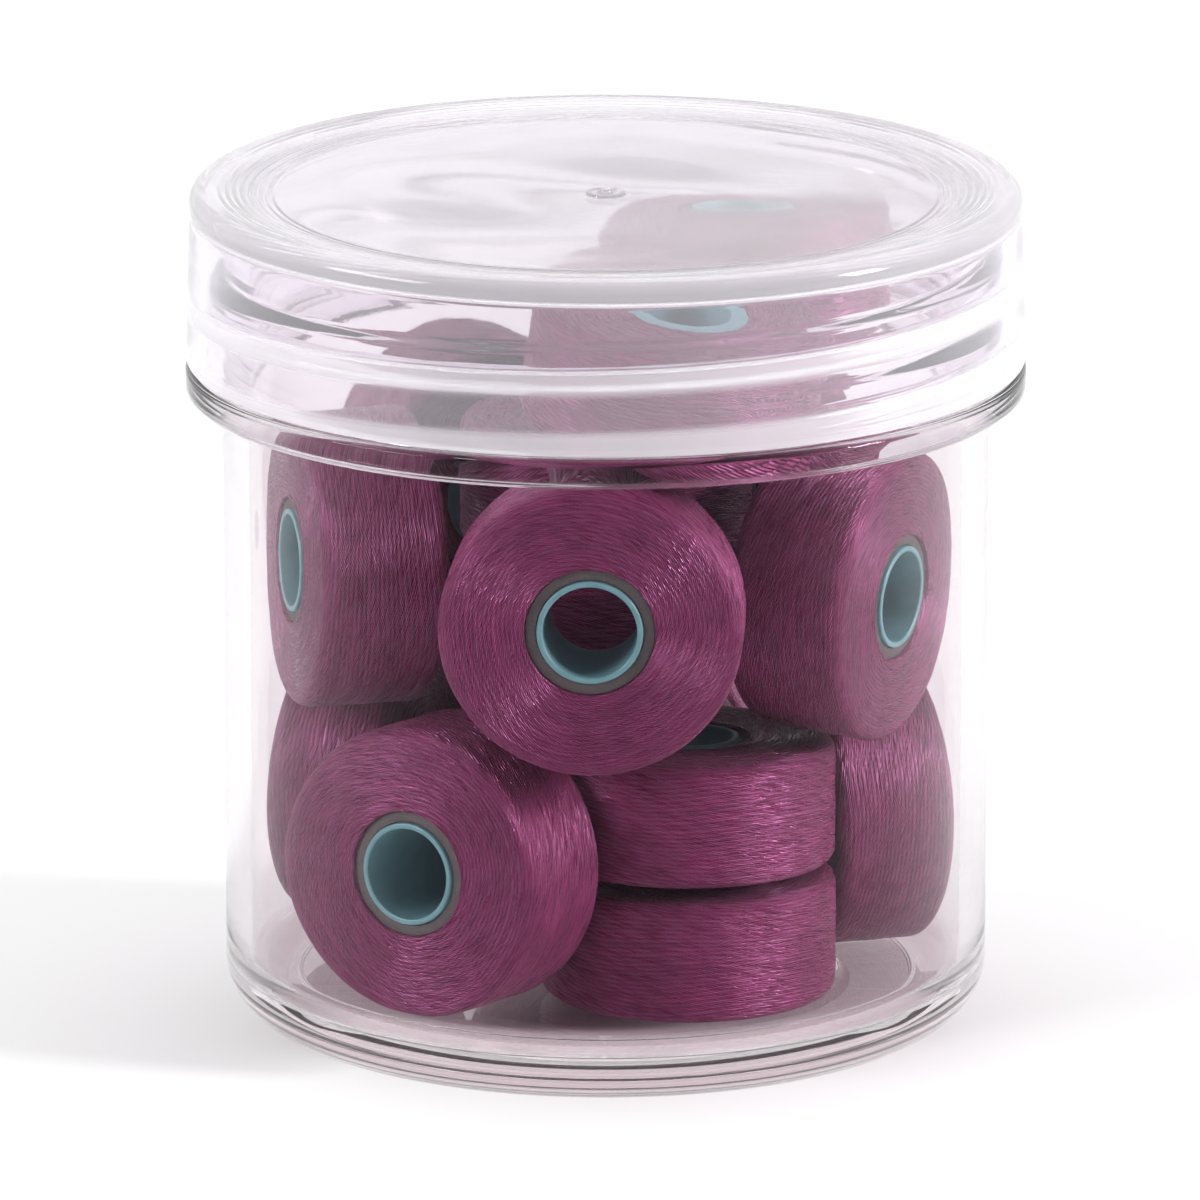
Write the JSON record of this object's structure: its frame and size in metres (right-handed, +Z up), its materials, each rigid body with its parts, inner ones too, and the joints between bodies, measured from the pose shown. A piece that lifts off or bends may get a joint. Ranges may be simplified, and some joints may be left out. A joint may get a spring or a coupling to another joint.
{
  "type": "bobbin box",
  "caption": "Round clear screw-lid jar holding loose prewound sewing bobbins, each a wound thread ring on a plastic core with a magnet ring.",
  "frame": {"origin": "centre of the jar's underside, on the surface it stands on", "axes": "+Z up along the jar's axis; -Y faces the viewer, +X to the viewer's right"},
  "size_m": [0.058, 0.058, 0.0585],
  "materials": {
    "jar_clear": "clear, polished, thick-walled moulded polystyrene",
    "lid_milky": "translucent, slightly milky moulded polypropylene, soft gloss",
    "thread": "trilobal polyester thread wound in fine close passes, with a silky sparkle",
    "core": "moulded teal plastic, satin gloss",
    "magnet": "dark bonded magnet ring, dull"
  },
  "bodies": {
    "jar": {"jar": "jar_clear"},
    "lid_lift": {"lid_gate_mark": "lid_milky"},
    "lid": {"lid": "lid_milky"},
    "bobbin_01": {"bobbin_01_thread": "thread", "bobbin_01_core": "core", "bobbin_01_magnet": "magnet"},
    "bobbin_02": {"bobbin_02_thread": "thread", "bobbin_02_core": "core", "bobbin_02_magnet": "magnet"},
    "bobbin_03": {"bobbin_03_thread": "thread", "bobbin_03_core": "core", "bobbin_03_magnet": "magnet"},
    "bobbin_04": {"bobbin_04_thread": "thread", "bobbin_04_core": "core", "bobbin_04_magnet": "magnet"},
    "bobbin_05": {"bobbin_05_thread": "thread", "bobbin_05_core": "core", "bobbin_05_magnet": "magnet"},
    "bobbin_06": {"bobbin_06_thread": "thread", "bobbin_06_core": "core", "bobbin_06_magnet": "magnet"},
    "bobbin_07": {"bobbin_07_thread": "thread", "bobbin_07_core": "core", "bobbin_07_magnet": "magnet"},
    "bobbin_08": {"bobbin_08_thread": "thread", "bobbin_08_core": "core", "bobbin_08_magnet": "magnet"},
    "bobbin_09": {"bobbin_09_thread": "thread", "bobbin_09_core": "core", "bobbin_09_magnet": "magnet"},
    "bobbin_10": {"bobbin_10_thread": "thread", "bobbin_10_core": "core", "bobbin_10_magnet": "magnet"},
    "bobbin_11": {"bobbin_11_thread": "thread", "bobbin_11_core": "core", "bobbin_11_magnet": "magnet"},
    "bobbin_12": {"bobbin_12_thread": "thread", "bobbin_12_core": "core", "bobbin_12_magnet": "magnet"},
    "bobbin_13": {"bobbin_13_thread": "thread", "bobbin_13_core": "core", "bobbin_13_magnet": "magnet"},
    "bobbin_14": {"bobbin_14_thread": "thread", "bobbin_14_core": "core", "bobbin_14_magnet": "magnet"},
    "bobbin_15": {"bobbin_15_thread": "thread", "bobbin_15_core": "core", "bobbin_15_magnet": "magnet"},
    "bobbin_16": {"bobbin_16_thread": "thread", "bobbin_16_core": "core", "bobbin_16_magnet": "magnet"}
  },
  "joints": [
    {"name": "lid_lift", "type": "slide", "parent": "jar", "child": "lid_lift", "axis": [0, 0, 1], "range_m": [0, 0.015]},
    {"name": "lid_turn", "type": "hinge", "parent": "lid_lift", "child": "lid", "pos_m": [0, 0, 0.0579], "axis": [0, 0, 1], "range_deg": [0, 1260]},
    {"name": "bobbin_01_spin", "type": "hinge", "parent": "jar", "child": "bobbin_01", "pos_m": [-0.01088, -0.01383, 0.0142], "axis": [-0.563, -0.8253, 0.0436], "continuous": true},
    {"name": "bobbin_02_spin", "type": "hinge", "parent": "jar", "child": "bobbin_02", "pos_m": [0.00562, -0.00703, 0.0077], "axis": [0, 0, 1], "continuous": true},
    {"name": "bobbin_03_spin", "type": "hinge", "parent": "jar", "child": "bobbin_03", "pos_m": [0.00557, -0.00681, 0.017], "axis": [0, 0.0349, 0.9994], "continuous": true},
    {"name": "bobbin_04_spin", "type": "hinge", "parent": "jar", "child": "bobbin_04", "pos_m": [0.01732, 0.00526, 0.0136], "axis": [0.9563, 0.2924, 0], "continuous": true},
    {"name": "bobbin_05_spin", "type": "hinge", "parent": "jar", "child": "bobbin_05", "pos_m": [-0.01661, 0.00611, 0.0153], "axis": [-0.9507, 0.3071, 0.0436], "continuous": true},
    {"name": "bobbin_06_spin", "type": "hinge", "parent": "jar", "child": "bobbin_06", "pos_m": [0.0006, 0.01809, 0.0135], "axis": [0.0314, 0.9995, 0], "continuous": true},
    {"name": "bobbin_07_spin", "type": "hinge", "parent": "jar", "child": "bobbin_07", "pos_m": [0.00014, 0.0081, 0.0135], "axis": [0, -1, 0], "continuous": true},
    {"name": "bobbin_08_spin", "type": "hinge", "parent": "jar", "child": "bobbin_08", "pos_m": [-0.00085, -0.01808, 0.0326], "axis": [-0.0506, -0.9981, 0.0349], "continuous": true},
    {"name": "bobbin_09_spin", "type": "hinge", "parent": "jar", "child": "bobbin_09", "pos_m": [-0.01732, -0.0049, 0.0335], "axis": [-0.9576, -0.2873, 0.0192], "continuous": true},
    {"name": "bobbin_10_spin", "type": "hinge", "parent": "jar", "child": "bobbin_10", "pos_m": [0.01618, -0.00611, 0.0317], "axis": [0.8899, -0.4534, -0.0489], "continuous": true},
    {"name": "bobbin_11_spin", "type": "hinge", "parent": "jar", "child": "bobbin_11", "pos_m": [0.01072, 0.01319, 0.0335], "axis": [0.719, 0.6943, -0.0314], "continuous": true},
    {"name": "bobbin_12_spin", "type": "hinge", "parent": "jar", "child": "bobbin_12", "pos_m": [-0.0098, 0.0151, 0.0342], "axis": [-0.5446, 0.8385, 0.0175], "continuous": true},
    {"name": "bobbin_13_spin", "type": "hinge", "parent": "jar", "child": "bobbin_13", "pos_m": [0, 0, 0.0285], "axis": [0, 0, -1], "continuous": true},
    {"name": "bobbin_14_spin", "type": "hinge", "parent": "jar", "child": "bobbin_14", "pos_m": [0, 0.001, 0.0377], "axis": [0, 0.0349, 0.9994], "continuous": true},
    {"name": "bobbin_15_spin", "type": "hinge", "parent": "jar", "child": "bobbin_15", "pos_m": [0.00467, -0.01105, 0.0483], "axis": [-0.1422, 0.0996, -0.9848], "continuous": true},
    {"name": "bobbin_16_spin", "type": "hinge", "parent": "jar", "child": "bobbin_16", "pos_m": [0.01006, 0.00988, 0.0492], "axis": [-0.1264, 0.1061, 0.9863], "continuous": true}
  ],
  "couplings": [
    {"joint": "lid_lift", "follows": "lid_turn", "m_per_rad": 0.00067375}
  ]
}
